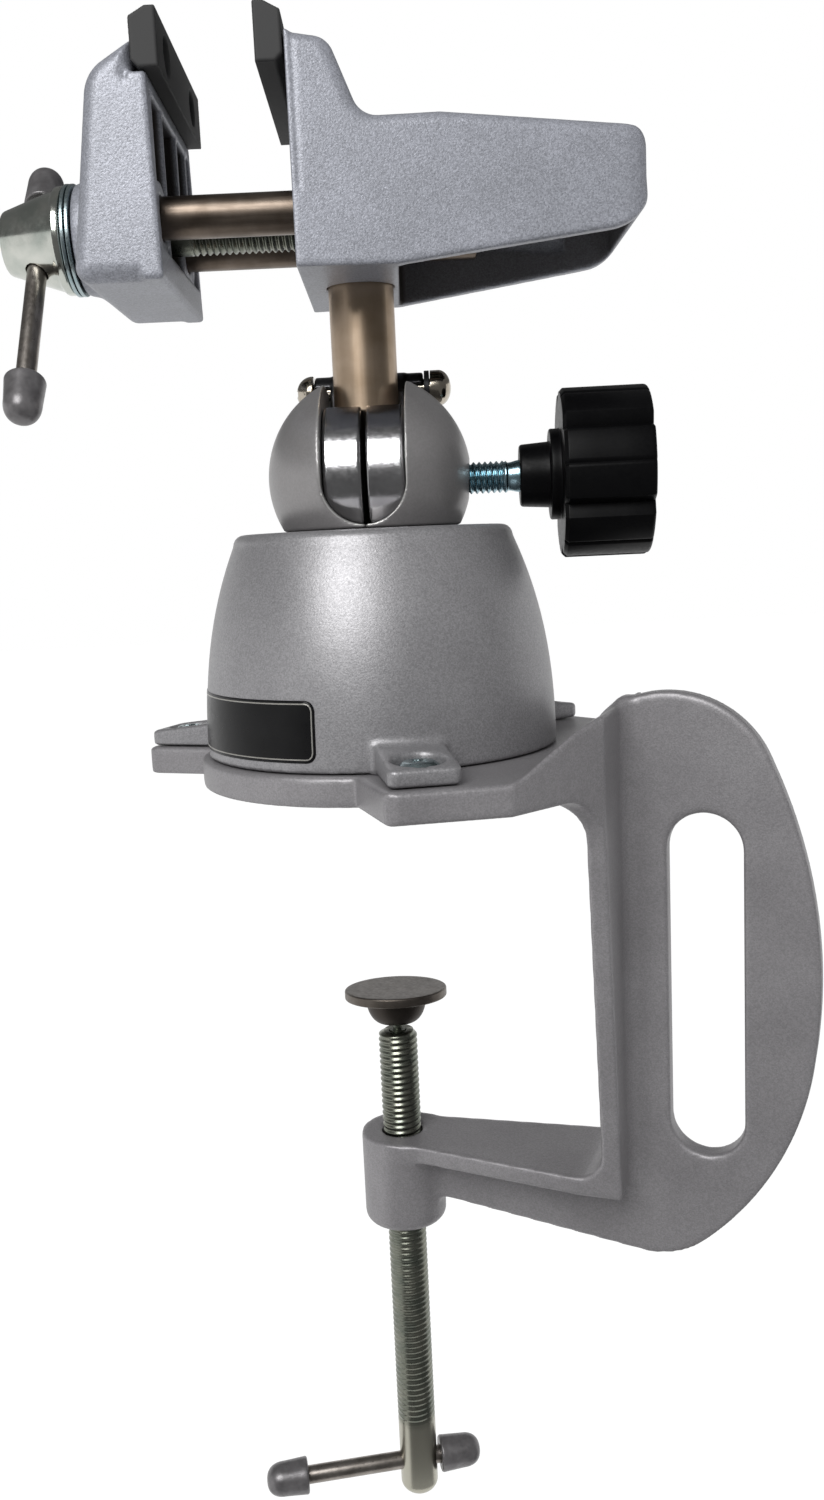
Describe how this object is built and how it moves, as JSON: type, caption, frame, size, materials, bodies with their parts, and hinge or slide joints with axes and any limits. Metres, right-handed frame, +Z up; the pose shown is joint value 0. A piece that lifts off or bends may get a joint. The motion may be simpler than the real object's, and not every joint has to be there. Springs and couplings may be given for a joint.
{
  "type": "tilting bench vise",
  "caption": "Bench vise for circuit boards: padded jaws driven by a lead screw, on a post in a lockable split ball that turns and tilts above a domed base and a C clamp for the bench edge.",
  "frame": {"origin": "centre of the clamp plate's underside, on the clamp screw's axis, where the plate rests on the bench", "axes": "+Z up out of the bench, X along the jaws' opening with the handle at -X, Y along the jaws' width"},
  "size_m": [0.1869, 0.1154, 0.3802],
  "materials": {
    "casting": "die casting, sprayed silver grey, fine orange peel",
    "head_casting": "die casting, sprayed light silver, fine orange peel",
    "ground_steel": "ground and lightly browned steel bar",
    "zinc_screw": "zinc plated steel, satin",
    "blue_zinc": "clear blue zinc plated steel",
    "chrome": "bright chrome plate",
    "dark_steel": "dark oiled steel",
    "black_plastic": "moulded black plastic, satin",
    "black_nylon": "black nylon, worn on the grip face",
    "grey_cap": "dark grey moulded end cap",
    "brass": "plain turned brass"
  },
  "bodies": {
    "mount": {"clamp_frame": "casting", "base_housing": "casting", "base_screw_1": "blue_zinc", "base_screw_2": "blue_zinc", "base_screw_3": "blue_zinc"},
    "ball": {"ball_half_left": "casting", "ball_half_right": "casting"},
    "drum": {"drum_half_left": "chrome", "drum_half_right": "chrome", "pinch_bolt": "chrome", "pinch_washer": "dark_steel", "pinch_nut": "chrome"},
    "head": {"post": "ground_steel", "fixed_jaw": "head_casting", "fixed_jaw_pad": "black_nylon", "fixed_pad_screw_1": "blue_zinc", "fixed_pad_screw_2": "blue_zinc"},
    "jaw": {"moving_jaw": "head_casting", "moving_jaw_pad": "black_nylon", "moving_pad_screw_1": "blue_zinc", "moving_pad_screw_2": "blue_zinc", "guide_rod_front": "ground_steel", "guide_rod_rear": "ground_steel"},
    "drive": {"lead_screw": "zinc_screw", "handle_cone": "zinc_screw", "thrust_washer_inner": "blue_zinc", "thrust_washer_outer": "blue_zinc", "retaining_clip": "dark_steel"},
    "jaw_bar": {"jaw_bar": "dark_steel", "jaw_bar_cap_upper": "grey_cap", "jaw_bar_cap_lower": "grey_cap"},
    "knob_carrier": {"thrust_plug": "brass"},
    "knob": {"knob": "black_plastic", "knob_stud": "blue_zinc"},
    "clamp_carrier": {"pad_stud": "zinc_screw"},
    "clamp_screw": {"clamp_screw": "zinc_screw"},
    "clamp_pad": {"clamp_pad": "dark_steel"},
    "clamp_bar": {"clamp_bar": "dark_steel", "clamp_bar_cap_right": "grey_cap", "clamp_bar_cap_left": "grey_cap"}
  },
  "joints": [
    {"name": "ball_turn", "type": "hinge", "parent": "mount", "child": "ball", "pos_m": [0, 0, 0.0744], "axis": [0, 0, 1], "continuous": true},
    {"name": "head_tilt", "type": "hinge", "parent": "ball", "child": "drum", "pos_m": [0, 0, 0.0744], "axis": [0.9986, -0.0523, 0], "range_deg": [-55, 90]},
    {"name": "head_spin", "type": "hinge", "parent": "drum", "child": "head", "pos_m": [0, 0, 0.0744], "axis": [0, 0, 1], "continuous": true},
    {"name": "jaw_slide", "type": "slide", "parent": "head", "child": "jaw", "axis": [-1, 0, 0], "range_m": [-0.0203, 0.03]},
    {"name": "lead_screw_turn", "type": "hinge", "parent": "jaw", "child": "drive", "pos_m": [-0.0437, 0, 0.1337], "axis": [-1, 0, 0], "range_deg": [-4605, 6805]},
    {"name": "jaw_bar_slide", "type": "slide", "parent": "drive", "child": "jaw_bar", "axis": [0, 0.5592, 0.829], "range_m": [0, 0.0306]},
    {"name": "knob_travel", "type": "slide", "parent": "ball", "child": "knob_carrier", "axis": [0.9986, -0.0523, 0], "range_m": [0, 0.004]},
    {"name": "knob_turn", "type": "hinge", "parent": "knob_carrier", "child": "knob", "pos_m": [0, 0, 0.0732], "axis": [0.9986, -0.0523, 0], "range_deg": [0, 1021]},
    {"name": "clamp_travel", "type": "slide", "parent": "mount", "child": "clamp_carrier", "axis": [0, 0, 1], "range_m": [-0.028, 0.055]},
    {"name": "clamp_screw_turn", "type": "hinge", "parent": "clamp_carrier", "child": "clamp_screw", "pos_m": [0, 0, -0.0696], "axis": [0, 0, 1], "range_deg": [-6355, 12475]},
    {"name": "pad_swivel", "type": "hinge", "parent": "clamp_carrier", "child": "clamp_pad", "pos_m": [0, 0, -0.0638], "axis": [1, 0, 0], "range_deg": [-9, 21]},
    {"name": "clamp_bar_slide", "type": "slide", "parent": "clamp_screw", "child": "clamp_bar", "axis": [0.9863, 0.165, 0], "range_m": [0, 0.0248]}
  ],
  "couplings": [
    {"joint": "lead_screw_turn", "follows": "jaw_slide", "rad_per_m": 3957.9},
    {"joint": "knob_turn", "follows": "knob_travel", "rad_per_m": 4452.7},
    {"joint": "clamp_screw_turn", "follows": "clamp_travel", "rad_per_m": 3957.9}
  ]
}
